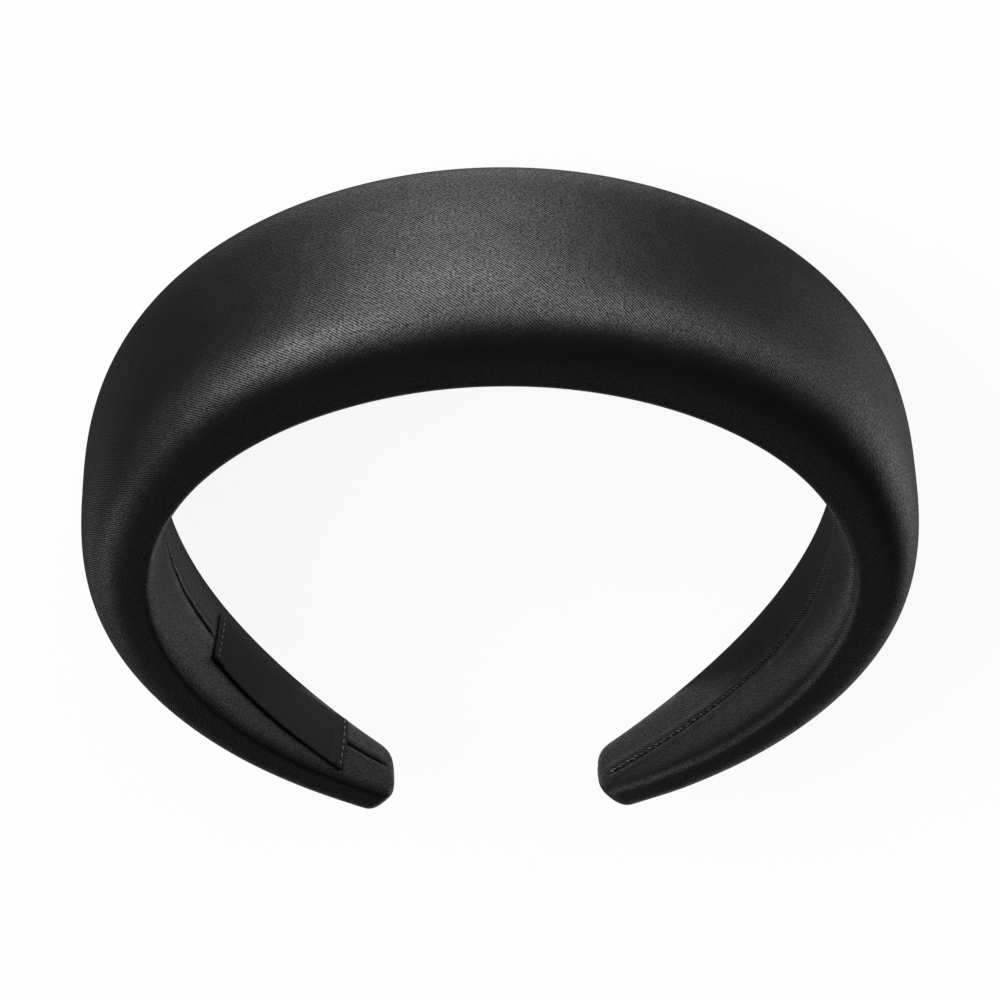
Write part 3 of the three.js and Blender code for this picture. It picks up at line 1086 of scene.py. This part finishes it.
def add_soft_lights(context):
    """The studio's soft lights, as glows on a dark surround: each is its brightness times e to the power of
    the sharpness times the cosine of the angle from its middle less 1."""
    context.scene.world = bpy.data.worlds.new("studio")
    nodes = Nodes(context.scene.world)
    outwards = nodes.node("ShaderNodeTexCoord", output="Generated")
    total = DARK_SURROUND
    for azimuth, elevation, brightness in SOFT_LIGHTS:
        inputs = {0: outwards, 1: direction(azimuth, elevation)}
        cosine = nodes.node("ShaderNodeVectorMath", inputs, {"operation": "DOT_PRODUCT"}, "Value")
        total = ((cosine - 1) * LIGHT_SHARPNESS).math("EXPONENT") * brightness + total
    background = nodes.node("ShaderNodeBackground", {"Color": WHITE, "Strength": total})
    nodes.end(background, "ShaderNodeOutputWorld")


class HEADBAND_OT_stage(bpy.types.Operator):
    """Sets the stage: a round white tent, the soft lights that the satin mirrors, and the camera"""

    bl_idname = "headband.stage"
    bl_label = "Stage"

    def execute(self, context):
        low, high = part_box(BAND_NODE)
        add_camera(context, (low.z + high.z) / 2)
        add_tent(context)
        add_mouth_glow(context)
        add_soft_lights(context)
        context.scene.view_settings.view_transform = "Standard"
        # The denoiser takes the fine weave for noise.
        context.scene.cycles.use_denoising = False
        return {"FINISHED"}


# ---- The add-on ----------------------------------------------------------------------------------------


def length_property(name, description, default, least=0.0):
    """A length that a user may change, in metres."""
    return bpy.props.FloatProperty(
        name=name, description=description, default=default, min=least, unit="LENGTH", precision=5
    )


def share_property(name, description, default, least):
    """A number up to 1 that a user may change."""
    return bpy.props.FloatProperty(name=name, description=description, default=default, min=least, max=1)


def colour_property(name, description, grey):
    """A colour that a user may change, at first a grey."""
    return bpy.props.FloatVectorProperty(
        name=name, description=description, default=(grey,) * 3, min=0, max=1, size=3, subtype="COLOR"
    )


class HeadbandSettings(bpy.types.PropertyGroup):
    """What a user would change about the headband"""

    satin_colour: colour_property("Satin colour", "Colour of the satin cover", 0.002)
    satin_roughness: share_property("Satin roughness", "How matt the satin is", 0.25, 0.05)
    twill_pitch: length_property("Twill pitch", "Distance between the satin's lines", 0.00043, 0.0001)
    seam_depth: length_property("Seam depth", "Depth of the closing seam's groove", 0.0008)
    lip_height: length_property("Lip height", "How far the cloth stands out beside the seam", 0.00022)
    gather_height: length_property("Gather height", "Height of the small gathers beside the seam", 0.00012)
    stitch_pitch: length_property("Stitch pitch", "Distance from one stitch to the next", 0.0021, 0.0005)
    stitch_share: share_property("Stitch share", "Share of the pitch that a stitch shows", 0.68, 0.1)
    thread_thickness: length_property("Thread thickness", "Thickness of the sewing thread", 0.00036, 0.0001)
    seam_thread_colour: colour_property("Seam thread colour", "Colour of the closing seam's thread", 0.002)
    label_thread_colour: colour_property("Label thread colour", "Colour of the label's thread", 0.05)
    label_colour: colour_property("Label colour", "Colour of the woven label", 0.003)
    tape_thickness: length_property("Tape thickness", "Thickness of the label's tape", 0.0004, 0.0001)
    edge_curl: length_property("Edge curl", "How far the label's front edge stands off the cover", 0.0002)


MAKERS = (
    HEADBAND_OT_satin_cover,
    HEADBAND_OT_seam_stitches,
    HEADBAND_OT_woven_label,
    HEADBAND_OT_label_stitches,
    HEADBAND_OT_stage,
)


class VIEW3D_PT_headband(bpy.types.Panel):
    """Lists the headband's sizes and colours, and the makers of its pieces"""

    bl_label = "Padded Hoop Headband"
    bl_space_type = "VIEW_3D"
    bl_region_type = "UI"
    bl_category = "Headband"

    def draw(self, context):
        column = self.layout.column()
        for name in HeadbandSettings.__annotations__:
            column.prop(context.scene.headband, name)
        for maker in MAKERS:
            column.operator(maker.bl_idname)


CLASSES = (HeadbandSettings, *MAKERS, VIEW3D_PT_headband)


def register():
    for one in CLASSES:
        bpy.utils.register_class(one)
    bpy.types.Scene.headband = bpy.props.PointerProperty(type=HeadbandSettings)


def unregister():
    del bpy.types.Scene.headband
    for one in reversed(CLASSES):
        bpy.utils.unregister_class(one)


def corners(box):
    """A box's lowest and highest corners as plain lists."""
    return [list(corner) for corner in box]


def main():
    """Builds every piece and the stage."""
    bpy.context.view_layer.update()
    register()
    bpy.ops.headband.satin_cover()
    bpy.ops.headband.seam_stitches()
    bpy.ops.headband.woven_label()
    bpy.ops.headband.label_stitches()
    bpy.ops.headband.stage()


if __name__ == "__main__":
    main()
